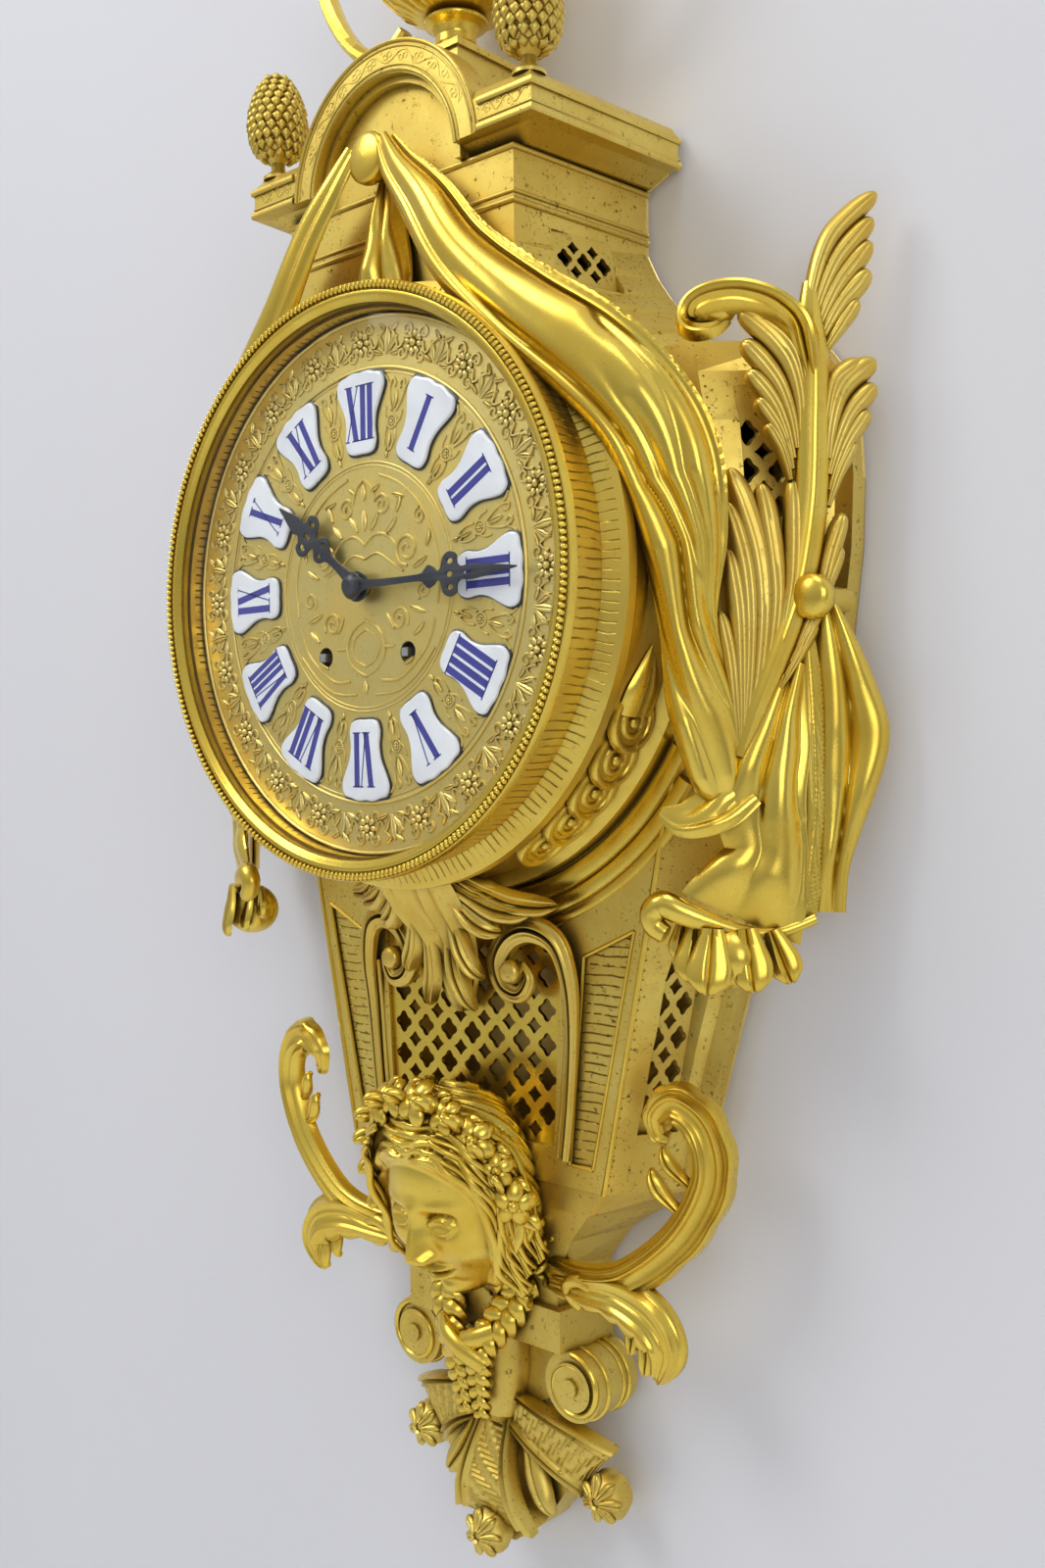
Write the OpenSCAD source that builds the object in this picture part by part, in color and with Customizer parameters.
// Cartel clock: a cast gilt wall case with a hinged bezel, a twelve-plaque dial and a striking movement.
// Millimetres. +Z is up, the wall is the plane Y = 0, the front faces -Y, the origin is the hanging hole.

/* [Case] */
// Height of the hanging hole above the dial centre
hang_z = 150; // [142:1:156]
// Bore of the hanging hole
hang_d = 8; // [6:0.5:10]
// Thickness of the back plate
back_t = 3; // [2:0.5:4]
// Depth of the case body from the wall to its front face
body_depth = 42; // [40:1:45]
// Wall of the cast case
wall_t = 4; // [3:0.5:5]
// Depth of the frame strip along the back edge
rim_depth = 12; // [10:1:14]
// Depth of the frieze under the pediment
neck_depth = 83; // [80:1:86]
// Half width of the frieze front
neck_w = 70; // [68:1:72]

/* [Pediment] */
// Half width of the cornice at the front
cornice_w = 87; // [84:1:90]
// Height of the cornice's lower edge above the dial centre
cornice_z = 181; // [179:1:184]
// Height of the cornice fascia
fascia_h = 13.5; // [12:0.5:15]
// Outer radius of the arch
arch_r = 58; // [55:1:60]
// Depth of the arch, front to back
arch_t = 14; // [12:1:18]
// Half width of the block under the urn
plinth_w = 20; // [18:1:22]
// Height of the block under the urn
plinth_h = 42; // [38:1:46]

/* [Drum and dial] */
// Depth from the wall to the dial face
dial_depth = 103; // [101:1:106]
// Radius of the dial plate
dial_r = 115; // [113:1:116]
// Thickness of the dial plate
dial_t = 1.6; // [1.2:0.2:2]
// Radius to the middle of the numeral plaques
plaque_ring_r = 74; // [72:1:76]
// Outer radius of the drum behind the bezel
drum_r = 122; // [121:0.5:123]
// Outer radius of the drum's ring moulding
ring_r = 131; // [129:1:133]
// Outer radius of the bezel
bezel_r = 125.7; // [124:0.1:127]
// Opening radius of the bezel
sight_r = 113; // [111:1:114]
// Height of the glass dome at its middle
dome_h = 9; // [7:1:12]

/* [Movement] */
// Radius of the movement plates
plate_r = 62; // [60:1:64]
// Thickness of the movement plates
plate_t = 2.5; // [2:0.5:3]
// Gap between the movement plates
plate_gap = 42; // [41:0.5:44]
// Sideways place of the winding squares
winding_x = 26; // [25:0.5:27]
// Drop of the winding squares below the dial centre
winding_drop = 29; // [28:0.5:30]
// Width across the flats of a winding square
winding_square = 3.6; // [3:0.2:4]
// Radius of the pendulum bob
bob_r = 24; // [20:1:27]
// Pendulum length from its bend to the middle of the bob
pendulum_l = 202; // [196:1:206]
// Radius of the bell
bell_r = 26; // [24:1:27]

/* [Hidden] */
$fn = 96;

gilt = "goldenrod";
brass = "darkgoldenrod";
steel = "slategray";

// Fits: a shaft in its hole, a seated ornament, a door in its opening, meshing layers.
run_fit = 0.05;
seat = 0.2;
door_gap = 0.4;
layer_gap = 0.8;

// Half widths of the case body by height: front face and wall.
body_levels = [[-262, 79, 106], [-231, 85.6, 112], [-200, 92, 121], [-169, 98.5, 130], [-140, 104.5, 141],
  [-110, 110.7, 152], [-75, 120, 165], [-29, 131, 178], [8, 136, 182.5], [36, 137, 183.5], [60, 135, 182],
  [80, 131, 176], [93, 126, 166]];
// The same for the concave neck above the shoulders, with the width at the wall only.
neck_levels = [[84, 118], [97, 116], [108, 107], [118, 97], [126, 90], [136, 83], [148, 77], [158, 77],
  [176, 77]];
rim_w = 8;
apron_foot_z = body_levels[0][0];
shoulder_z = body_levels[len(body_levels) - 1][0];
neck_top_z = neck_levels[len(neck_levels) - 1][0];

// Depths of the drum's profile.
drum_front = dial_depth + 7;
ring_depth = 88;
ledge_t = 4;
drum_in = dial_r + 0.5;
ledge_in = dial_r - 12;
ledge_back = dial_depth - dial_t - ledge_t;
drum_hollow_r = ring_r - 6;
flange_r = ring_r + 4;
bezel_gap = 0.4;

// Train: teeth, modules and the places of the arbors as [x, z].
great_teeth = 60;
great_module = 0.62;
second_teeth = 60;
second_module = 0.55;
low_leaves = 10;
centre_teeth = 80;
centre_module = 0.42;
third_teeth = 80;
third_module = 0.36;
high_leaves = 8;
cannon_leaves = 12;
minute_teeth = 36;
motion_module = 0.5;
minute_leaves = 10;
hour_teeth = 40;
hour_module = motion_module * (cannon_leaves + minute_teeth) / (minute_leaves + hour_teeth);
pin_teeth = 60;
pin_module = 0.5;
escape_teeth = 40;
escape_r = 12;
function spread(module_size, teeth, leaves) = module_size * (teeth + leaves) / 2;
// The point at distance ra from a and rb from b, on the side that turn picks.
function meet(a, ra, b, rb, turn) =
  let (d = norm(b - a), u = (b - a) / d, k = (d * d + ra * ra - rb * rb) / (2 * d), h = sqrt(ra * ra - k * k))
  a + u * k + turn * h * [-u[1], u[0]];
function bearing(a, b) = atan2(b[1] - a[1], b[0] - a[0]);
centre_at = [0, 0];
going_at = [winding_x, -winding_drop];
strike_at = [-winding_x, -winding_drop];
second_at = meet(going_at, spread(great_module, great_teeth, low_leaves), centre_at,
  spread(second_module, second_teeth, low_leaves), -1);
escape_z = 28;
escape_at = [0, escape_z];
third_at = meet(centre_at, spread(centre_module, centre_teeth, high_leaves), escape_at,
  spread(third_module, third_teeth, high_leaves), -1);
pallet_z = escape_z + escape_r / cos(49.5);
pallet_at = [0, pallet_z];
minute_at = spread(motion_module, minute_teeth, cannon_leaves) * [cos(135), sin(135)];
strike_second_at = strike_at + spread(great_module, great_teeth, low_leaves) * [cos(103), sin(103)];
pin_at = strike_second_at + spread(second_module, second_teeth, low_leaves) * [cos(84), sin(84)];
fly_at = pin_at + spread(pin_module, pin_teeth, high_leaves) * [cos(58), sin(58)];
hammer_at = [-52, -2];
bell_at = [-34, 26];
pillar_angles = [15, 62, 118, 165, 270];
pillar_ring_r = plate_r - 8;

// Depths of the movement's layers from the wall.
motion_room = 10;
front_face = dial_depth - motion_room;
front_in = front_face - plate_t;
rear_in = front_in - plate_gap;
rear_face = rear_in - plate_t;
wheel_t = 1.5;
escape_depth = front_in - 5.5;
third_depth = front_in - 10.5;
centre_depth = front_in - 19.5;
second_depth = rear_in + 4;
great_depth = rear_in + 8;
pin_depth = rear_in + 18;
barrel_r = 16.5;
barrel_front = front_in - 4;
cannon_depth = front_face + layer_gap;
hour_depth = cannon_depth + 2.6;
hour_hand_depth = dial_depth + 4;
minute_hand_depth = hour_hand_depth + 3;
pendulum_depth = 24;
arbor_r = 1.2;
pivot_r = 0.8;

// Straight prism along Y from one depth to a nearer one, drawn in the X-Z plane.
module slab(from_depth, to_depth) {
  translate([0, -from_depth, 0]) rotate([90, 0, 0]) linear_extrude(to_depth - from_depth) children();
}

// Disc or bar with its axis along Y.
module rod(at, r, from_depth, to_depth) {
  translate([at[0], -from_depth, at[1]]) rotate([90, 0, 0]) cylinder(r = r, h = to_depth - from_depth);
}

// Turned body with its axis along Y: the profile is [radius, depth from the wall].
module turned(at, profile) {
  translate([at[0], 0, at[1]]) rotate([90, 0, 0]) rotate_extrude() polygon(profile);
}

module placed() {
  translate([0, 0, -hang_z]) children();
}

module mirrored() {
  mirror([1, 0, 0]) children();
}

// Solid through rings of equal count, closed to a point at each end.
module loft(rings, first, last) {
  n = len(rings[0]);
  m = len(rings);
  points = concat([for (ring = rings) each ring], [first, last]);
  sides = [for (i = [0:m - 2], j = [0:n - 1])
    let (k = (j + 1) % n)
    each [[i * n + j, (i + 1) * n + j, (i + 1) * n + k], [i * n + j, (i + 1) * n + k, i * n + k]]];
  ends = [for (j = [0:n - 1])
    let (k = (j + 1) % n)
    each [[j, k, n * m], [(m - 1) * n + k, (m - 1) * n + j, n * m + 1]]];
  polyhedron(points, concat(sides, ends), convexity = 6);
}

function unit(v) = v / norm(v);
function middle(ring) = [for (a = [0:2]) let (c = [for (p = ring) p[a]]) c * [for (p = ring) 1] / len(ring)];
// Smooth curve through a few points, steps samples for each stretch.
function curve_point(p, i, t) =
  let (a = p[max(i - 1, 0)], b = p[i], c = p[i + 1], d = p[min(i + 2, len(p) - 1)])
  0.5 * (2 * b + (c - a) * t + (2 * a - 5 * b + 4 * c - d) * t * t + (3 * b - a - 3 * c + d) * t * t * t);
function curve(p, steps) = concat(
  [for (i = [0:len(p) - 2], s = [0:steps - 1]) curve_point(p, i, s / steps)],
  [p[len(p) - 1]]);
function heading(path, i) = unit(path[min(i + 1, len(path) - 1)] - path[max(i - 1, 0)]);
// Ring of a section [across, out] set square to the path, with out pointing to the face direction.
function ring_at(p, t, face, w, h, section) =
  let (s = unit(cross(face, t)), u = cross(t, s))
  [for (q = section) p + s * q[0] * w + u * q[1] * h];

// Ribbon along a smooth path: each stop is [x, y, z, half width, thickness].
module ribbon(stops, face, section, steps = 3, heart = 0.4) {
  path = curve(stops, steps);
  last = len(path) - 1;
  spots = [for (s = path) [s[0], s[1], s[2]]];
  rings = [for (i = [0:last]) ring_at(spots[i], heading(spots, i), face, path[i][3], path[i][4], section)];
  ends = [for (i = [0, last]) ring_at(spots[i], heading(spots, i), face, path[i][3], path[i][4],
    [[0, heart]])[0]];
  loft(rings, ends[0], ends[1]);
}

// Channelled leaf: two swelling halves with a furrow along the midrib.
leaf_section = [[-1, 0], [-0.55, -0.3], [0.55, -0.3], [1, 0], [0.6, 0.9], [0.25, 1], [0, 0.55], [-0.25, 1],
  [-0.6, 0.9]];
// Cloth in three rolling folds over a flat back.
cloth_section = [[-1, 0], [0, -0.2], [1, 0], [0.98, 0.5], [0.78, 1], [0.5, 0.68], [0.28, 0.7], [0.05, 1.1],
  [-0.22, 0.66], [-0.42, 0.68], [-0.72, 1], [-0.95, 0.5]];
cloth_heart = -0.05;
strap_section = [[-1, 0], [1, 0], [1, 0.7], [0.75, 1], [-0.75, 1], [-1, 0.7]];
round_section = [for (i = [0:9]) [cos(36 * i), sin(36 * i)]];

function body_ring(level, out) =
  let (f = level[1] + out, b = level[2] + out, d = body_depth + out, r = rim_depth + out, z = level[0])
  [[-f, -d, z], [f, -d, z], [b - rim_w, -r, z], [b, -r, z], [b, -back_t, z], [-b, -back_t, z], [-b, -r, z],
    [rim_w - b, -r, z]];

// Outer form of the case body, grown by out for the ornaments that seat on it.
module body_form(out = 0) {
  rings = [for (level = body_levels)
    let (lift = level[0] == apron_foot_z ? -out : level[0] == shoulder_z ? out : 0)
    body_ring([level[0] + lift, level[1], level[2]], out)];
  mid = -(rim_depth + out + back_t) / 2;
  loft(rings, [0, mid, apron_foot_z - out], [0, mid, shoulder_z + out]);
}

module neck_form(out = 0) {
  rings = [for (level = neck_levels)
    let (f = neck_w + out, d = neck_depth + out, b = level[1] + out, z = level[0])
    [[-f, -d, z], [f, -d, z], [b, -back_t, z], [-b, -back_t, z]]];
  loft(rings, middle(rings[0]), middle(rings[len(rings) - 1]));
}

module drum_form(out = 0) {
  turned(centre_at, [[0, body_depth - 1], [flange_r + out, body_depth - 1],
    [flange_r + out, body_depth + 8 + out], [ring_r - 2 + out, body_depth + 12],
    [ring_r - 2 + out, ring_depth - 8], [ring_r + out, ring_depth - 5], [ring_r + out, ring_depth + out],
    [drum_r + out, ring_depth + 5 + out], [drum_r + out, drum_front + 6], [0, drum_front + 6]]);
}

grille_top = [60, -124];
grille_foot = [53, -248];
grille_t = 2;
fret_t = 2;
// Sunk panel of a pilaster beside the grille, its head cut along the drum.
pilaster_panel = [[69, -160], [96.5, -147], [73, -252], [60, -252]];
panel_sink = 1.2;
// Windows of the frets as [low depth, high depth, low z, high z].
apron_window = [17, 33, -236, -152];
flank_window = [17, 34, 6, 74];
neck_window = [28, 62, 124, 146];

module window(w, gap = 0) {
  translate([-200, -w[1] - gap, w[2] - gap]) cube([400, w[1] - w[0] + 2 * gap, w[3] - w[2] + 2 * gap]);
}

module case_cavity() {
  side = wall_t + 2;
  rings = [for (level = body_levels)
    let (f = level[1] - side, b = level[2] - rim_w - side - 2, d = body_depth - wall_t,
      z = min(max(level[0], apron_foot_z + wall_t), shoulder_z - wall_t))
    [[-f, -d, z], [f, -d, z], [b, 1, z], [-b, 1, z]]];
  loft(rings, middle(rings[0]), middle(rings[len(rings) - 1]));
  neck_rings = [for (level = neck_levels)
    let (f = neck_w - wall_t, b = level[1] - wall_t - 2, d = neck_depth - wall_t,
      z = level[0] + (level[0] > 170 ? 1 : -1))
    [[-f, -d, z], [f, -d, z], [b, 1, z], [-b, 1, z]]];
  loft(neck_rings, middle(neck_rings[0]), middle(neck_rings[len(neck_rings) - 1]));
}

module grille_outline(grow) {
  a = grille_top + [grow, grow];
  b = grille_foot + [grow, -grow];
  polygon([[-a[0], a[1]], a, b, [-b[0], b[1]]]);
}

module case_body() {
  color(gilt) placed() difference() {
    union() {
      body_form();
      neck_form();
    }
    case_cavity();
    rod(centre_at, drum_in, body_depth - 10, neck_depth + 5);
    difference() {
      drum_form(seat);
      translate([-200, -body_depth, -200]) cube([400, 60, 400]);
    }
    slab(body_depth - wall_t - 1, body_depth + 1) grille_outline(-2);
    slab(body_depth - wall_t - 1, body_depth - wall_t + grille_t) grille_outline(seat);
    for (side = [0, 1]) mirror([side, 0, 0]) slab(body_depth - panel_sink, body_depth + 1)
      polygon(pilaster_panel);
    window(apron_window);
    window(flank_window);
    window(neck_window);
  }
}

door_r = 58;
door_t = 1.6;

// Right half of the back plate's outline, from the console up to the cornice.
back_inset = 1;
back_right = concat([[46, -341], [46, -306], [60, -284], [84, -268]],
  [for (level = body_levels) [level[2] - back_inset, level[0]]],
  [for (i = [1:len(neck_levels) - 1]) [neck_levels[i][1] - back_inset, neck_levels[i][0]]],
  [[cornice_w, cornice_z], [cornice_w, cornice_z + fascia_h]]);
function left_of(half) = [for (i = [len(half) - 1:-1:0]) [-half[i][0], half[i][1]]];

door_back = 0.4;
door_hinge_x = door_r + 2.6;
door_hinge_depth = 1.8;
door_pin_r = 0.7;
door_knuckle_r = 1.5;
door_knuckle_l = 8;
notch_half = 12.5;
notch_side = 3;
finger_r = 5;

module back_plate() {
  inner_end = door_knuckle_l / 2 + door_gap;
  color(brass) placed() difference() {
    union() {
      difference() {
        slab(0, back_t) polygon(concat(back_right, left_of(back_right)));
        rod(centre_at, door_r, -1, back_t + 1);
        rod([0, hang_z], hang_d / 2, -1, back_t + 1);
        translate([-door_hinge_x - notch_side, -back_t - 1, -notch_half])
          cube([8, back_t + 2, 2 * notch_half]);
      }
      for (z = [inner_end, -notch_half]) {
        knuckle(door_hinge_x, door_hinge_depth, door_knuckle_r, z, notch_half - inner_end);
        translate([-door_hinge_x - notch_side - 0.5, -back_t, z])
          cube([notch_side + 0.5, back_t - door_back, notch_half - inner_end]);
      }
    }
    knuckle(door_hinge_x, door_hinge_depth, door_pin_r, -notch_half - 5, 2 * notch_half + 10);
  }
}

module door_hinge_pin() {
  color(steel) placed() knuckle(door_hinge_x, door_hinge_depth, door_pin_r, -notch_half, 2 * notch_half);
}

module rear_door() {
  color(brass) placed() difference() {
    union() {
      rod(centre_at, door_r - door_gap, door_back, door_back + door_t);
      knuckle(door_hinge_x, door_hinge_depth, door_knuckle_r, -door_knuckle_l / 2, door_knuckle_l);
      translate([-door_hinge_x, -door_back - door_t, -door_knuckle_l / 2]) cube([8, door_t, door_knuckle_l]);
    }
    knuckle(door_hinge_x, door_hinge_depth, door_pin_r + run_fit, -20, 40);
    rod([door_r - 12, 0], finger_r, -1, back_t + 1);
  }
}

cornice_flare = 7.5;
cornice_out = 8;
roof_h = 4.5;
roof_z = cornice_z + fascia_h + roof_h;
plinth_top = roof_z + plinth_h;
arch_z = cornice_z - 4;
arch_in = arch_r - fascia_h - 0.5;
cornice_depth = neck_depth + cornice_out;
plinth_front = 63;
plinth_back = 8;

function cornice_ring(z, out) =
  let (f = cornice_w + out, b = cornice_w + cornice_flare + out, d = cornice_depth + out)
  [[-f, -d, z], [f, -d, z], [b, -back_t, z], [-b, -back_t, z]];

module pediment() {
  color(gilt) placed() {
    difference() {
      union() {
        rings = [cornice_ring(neck_top_z, -14), cornice_ring(neck_top_z + 2.5, -9),
          cornice_ring(cornice_z - 0.5, -5), cornice_ring(cornice_z, 0),
          cornice_ring(cornice_z + fascia_h, 0), cornice_ring(roof_z, -3)];
        loft(rings, middle(rings[0]), middle(rings[5]));
      }
      rod([0, arch_z], arch_in, neck_depth - 1, cornice_depth + 5);
      translate([-arch_in, -cornice_depth - 5, neck_top_z - 8])
        cube([2 * arch_in, cornice_out + 6, arch_z - neck_top_z + 8]);
      translate([wall_t - neck_w, wall_t + 4 - neck_depth, neck_top_z - 1])
        cube([2 * (neck_w - wall_t), neck_depth - wall_t - 4 + 1, roof_z - neck_top_z - 6]);
    }
    arch_ring(arch_r, arch_in, cornice_depth - arch_t, cornice_depth, cornice_z);
    arch_ring(arch_in, arch_in - 3, neck_depth, cornice_depth - 4, neck_top_z);
    arch_ring(arch_in + 1, 0, neck_depth - wall_t, neck_depth, neck_top_z);
    translate([-plinth_w, -plinth_front, roof_z - 1])
      cube([2 * plinth_w, plinth_front - plinth_back, plinth_h - 2]);
    translate([-plinth_w - 1.5, -plinth_front - 1.5, plinth_top - 3])
      cube([2 * plinth_w + 3, plinth_front - plinth_back + 3, 3]);
  }
}

// Ring of the arch, kept above its foot.
module arch_ring(outer, inner, from_depth, to_depth, foot_z) {
  slab(from_depth, to_depth) translate([0, arch_z]) difference() {
    circle(r = outer);
    if (inner > 0) circle(r = inner);
    translate([-outer - 1, -2 * outer]) square([2 * outer + 2, 2 * outer + foot_z - arch_z]);
  }
}

urn_depth = 43;
// Urn profile as [radius, height over the block]: spool foot, ring, bowl, rim and hollow.
urn_outside = [[0, 0], [17, 0], [17, 3], [12.5, 5], [9.5, 9], [9.2, 13], [11, 16.5], [13.5, 18], [13.5, 20.5],
  [12, 21.5], [20, 23.5], [28, 28], [35, 35], [40, 44], [41.5, 52], [39, 60], [41.5, 62], [41.5, 66]];
urn_inside = [[37, 66], [35, 60], [37.5, 52], [36, 45], [31, 37], [22, 31], [0, 30]];
urn_rim_h = 66;

module on_plinth() {
  translate([0, -urn_depth, plinth_top]) children();
}

module urn_bowl() {
  color(gilt) placed() on_plinth() rotate_extrude() polygon(concat(urn_outside, urn_inside));
}

module urn_lid() {
  color(gilt) placed() on_plinth() rotate_extrude()
    polygon([[0, 66], [41, 66], [41.5, 68], [38, 71], [27, 76], [14, 80], [8.5, 84], [8, 88], [12, 90],
      [12, 92], [9, 94], [13.5, 102], [14.5, 108], [12, 117], [7, 126], [0, 133]]);
}

module urn_handle() {
  difference() {
    ribbon([[33, -urn_depth, 27, 3.2, 4], [45, -urn_depth, 19, 3.8, 5], [60, -urn_depth, 23, 4.2, 6],
      [76, -urn_depth, 39, 4.2, 6], [88, -urn_depth, 62, 4.2, 6], [88, -urn_depth, 80, 4.2, 6],
      [77, -urn_depth, 90, 4, 5.5], [62, -urn_depth, 86, 3.6, 5], [54, -urn_depth, 74, 3.2, 4.5],
      [43, -urn_depth, 64, 3, 4]], [0, -1, 0.01], round_section, 3);
    translate([0, -urn_depth, 0]) rotate_extrude()
      polygon([[0, 0], each [for (p = urn_outside) [p[0] + seat, p[1]]], [0, urn_rim_h]]);
  }
}

module urn_handles() {
  color(gilt) placed() translate([0, 0, plinth_top]) {
    urn_handle();
    mirrored() urn_handle();
  }
}

finial_x = cornice_w - 8;
finial_depth = cornice_depth - 8;

module pinecone_finials() {
  color(gilt) placed() for (side = [-1, 1])
    translate([side * finial_x, -finial_depth, roof_z]) rotate_extrude()
      polygon([[0, 0], [8, 0], [8, 1.5], [4, 4], [3.4, 8], [6, 10], [11, 12.5], [15, 19], [16, 27],
        [14.8, 36], [11.5, 45], [6.5, 53], [0, 58]]);
}

hinge_pin_r = 1.2;
knuckle_r = 3;
bezel_hinge_x = bezel_r + 4;
bezel_hinge_depth = drum_front;
bezel_knuckle_l = 11;
drum_knuckle_l = 8;
hinge_gap = 0.4;

module knuckle(x, depth, r, z, length) {
  translate([-x, -depth, z]) cylinder(r = r, h = length);
}

module drum() {
  color(gilt) placed() difference() {
    union() {
      turned(centre_at, [[drum_hollow_r, body_depth], [flange_r, body_depth], [flange_r, body_depth + 8],
        [ring_r - 2, body_depth + 12], [ring_r - 2, ring_depth - 8], [ring_r, ring_depth - 5],
        [ring_r, ring_depth], [drum_r, ring_depth + 5], [drum_r, drum_front], [drum_in, drum_front],
        [drum_in, dial_depth - dial_t], [ledge_in, dial_depth - dial_t], [ledge_in, ledge_back],
        [drum_r - wall_t, ledge_back], [drum_r - wall_t, ring_depth + 4], [drum_hollow_r, ring_depth - 6]]);
      for (z = [bezel_knuckle_l / 2 + hinge_gap, -bezel_knuckle_l / 2 - hinge_gap - drum_knuckle_l]) {
        knuckle(bezel_hinge_x, bezel_hinge_depth, knuckle_r, z, drum_knuckle_l);
        translate([-bezel_hinge_x, -bezel_hinge_depth + 0.6, z])
          cube([bezel_hinge_x - drum_r + 3, 2.4, drum_knuckle_l]);
      }
    }
    knuckle(bezel_hinge_x, bezel_hinge_depth, hinge_pin_r, -30, 60);
  }
}

module bezel_hinge_pin() {
  half = bezel_knuckle_l / 2 + hinge_gap + drum_knuckle_l;
  color(brass) placed() {
    knuckle(bezel_hinge_x, bezel_hinge_depth, hinge_pin_r, -half, 2 * half);
    knuckle(bezel_hinge_x, bezel_hinge_depth, 2, half, 1.5);
  }
}

bezel_back = drum_front + bezel_gap;
glass_r = sight_r + 4;
glass_t = 1.6;
glass_seat = bezel_back + 4.4;

module bezel() {
  color(gilt) placed() difference() {
    union() {
      turned(centre_at, [[glass_r + seat, bezel_back], [bezel_r - 1.5, bezel_back],
        [bezel_r, bezel_back + 1.5], [bezel_r, bezel_back + 6], [bezel_r - 2, bezel_back + 8.5],
        [bezel_r - 4.5, bezel_back + 9], [bezel_r - 6, bezel_back + 8], [sight_r, bezel_back + 6],
        [sight_r, glass_seat], [glass_r + seat, glass_seat]]);
      knuckle(bezel_hinge_x, bezel_hinge_depth, knuckle_r, -bezel_knuckle_l / 2, bezel_knuckle_l);
      translate([-bezel_hinge_x, -bezel_hinge_depth - 3, -bezel_knuckle_l / 2])
        cube([bezel_hinge_x - bezel_r + 3, 2.4, bezel_knuckle_l]);
    }
    knuckle(bezel_hinge_x, bezel_hinge_depth, hinge_pin_r + run_fit, -30, 60);
  }
}

dome_r = (sight_r * sight_r + dome_h * dome_h) / (2 * dome_h);
function dome(r, lift) = sqrt(dome_r * dome_r - r * r) - dome_r + dome_h + lift;

module bezel_glass() {
  stops = [0, 0.2, 0.4, 0.6, 0.8, 0.95];
  rim = sight_r - 0.8;
  outer = [for (s = stops) [rim * s, glass_seat + dome(rim * s, 0)]];
  inner = [for (i = [5:-1:0]) [rim * stops[i], glass_seat - glass_t + dome(rim * stops[i], 0)]];
  color("lightcyan") placed() turned(centre_at, concat(outer, [[rim, glass_seat], [glass_r, glass_seat],
    [glass_r, glass_seat - glass_t], [rim, glass_seat - glass_t]], inner));
}

winding_hole_r = 4.5;

module dial_plate() {
  color(gilt) placed() difference() {
    rod(centre_at, dial_r, dial_depth - dial_t, dial_depth);
    rod(centre_at, hour_pipe_r + 0.6, dial_depth - 10, dial_depth + 5);
    for (at = [going_at, strike_at]) rod(at, winding_hole_r, dial_depth - 10, dial_depth + 5);
  }
}

plaque_t = 2;
// Right half of a waisted plaque, from its inner end outwards.
plaque_right = [[4, -17.5], [8, -16], [9.5, -12], [8.8, -6], [10, 0], [13, 6], [14.8, 11], [13.5, 15.5],
  [9, 16.6], [4.5, 18]];

module numeral_plaques() {
  color("white") placed() for (hour = [0:11])
    rotate([0, 30 * hour, 0]) slab(dial_depth, dial_depth + plaque_t) translate([0, plaque_ring_r])
      polygon(concat(plaque_right, left_of(plaque_right)));
}

hand_t = 1;
cannon_pipe_r = 2;
hour_pipe_r = 3.2;
hour_hand_l = 64;
minute_hand_l = 94;
hour_rest = 307.5;
minute_rest = 90;

// Right half of a pierced hand's outline from its boss to its tip, in shares of the hand's length.
function hand_right(l, boss, stem) = [[stem, boss * 0.9], [stem, l * 0.38], [stem * 2.6, l * 0.46],
  [stem * 1.2, l * 0.5], [stem * 4.2, l * 0.6], [stem * 1.6, l * 0.66], [stem * 1.9, l * 0.78],
  [stem * 0.5, l * 0.97], [0.2, l]];

module hand(depth, l, boss, stem, bore, turn) {
  half = hand_right(l, boss, stem);
  rotate([0, turn, 0]) slab(depth, depth + hand_t) difference() {
    union() {
      circle(r = boss);
      polygon(concat(half, left_of(half)));
    }
    circle(r = bore);
    polygon([[0, l * 0.5], [stem * 2, l * 0.6], [0, l * 0.65], [-stem * 2, l * 0.6]]);
  }
}

module hour_hand() {
  color(steel) placed() hand(hour_hand_depth, hour_hand_l, 7, 1.6, hour_pipe_r + run_fit, hour_rest);
}

module minute_hand() {
  color(steel) placed() hand(minute_hand_depth, minute_hand_l, 6, 1.3, cannon_pipe_r + run_fit, minute_rest);
}

module hand_collet() {
  color(steel) placed() difference() {
    turned(centre_at, [[0, minute_hand_depth + hand_t], [5, minute_hand_depth + hand_t],
      [4.2, minute_hand_depth + hand_t + 1.8], [2.6, minute_hand_depth + hand_t + 3],
      [0, minute_hand_depth + hand_t + 3]]);
    rod(centre_at, arbor_r + run_fit, dial_depth, minute_hand_depth + hand_t + 1.7);
  }
}

// Tooth forms as shares: root width, tip width, addendum, dedendum.
wheel_form = [0.62, 0.28, 0.9, 1.1];
leaf_form = [0.40, 0.24, 0.7, 1.35];
function tooth_points(teeth, size, form, phase) = [for (i = [0:teeth - 1],
    c = [[-form[0], -form[3]], [-form[1], form[2]], [form[1], form[2]], [form[0], -form[3]]])
  let (a = phase + (i + c[0] / 2) * 360 / teeth, r = size * (teeth / 2 + c[1])) [r * cos(a), r * sin(a)]];
// Windows between the arms of a wheel.
function window_points(inner, outer, arms, i) =
  let (half = 180 / arms, gi = asin(1.1 / inner), go = asin(1.1 / outer), a = 360 / arms * i)
  concat([for (s = [-1, -0.5, 0, 0.5, 1]) outer * [cos(a + s * (half - go)), sin(a + s * (half - go))]],
    [for (s = [1, 0, -1]) inner * [cos(a + s * (half - gi)), sin(a + s * (half - gi))]]);
wheel_arms = 5;

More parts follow.
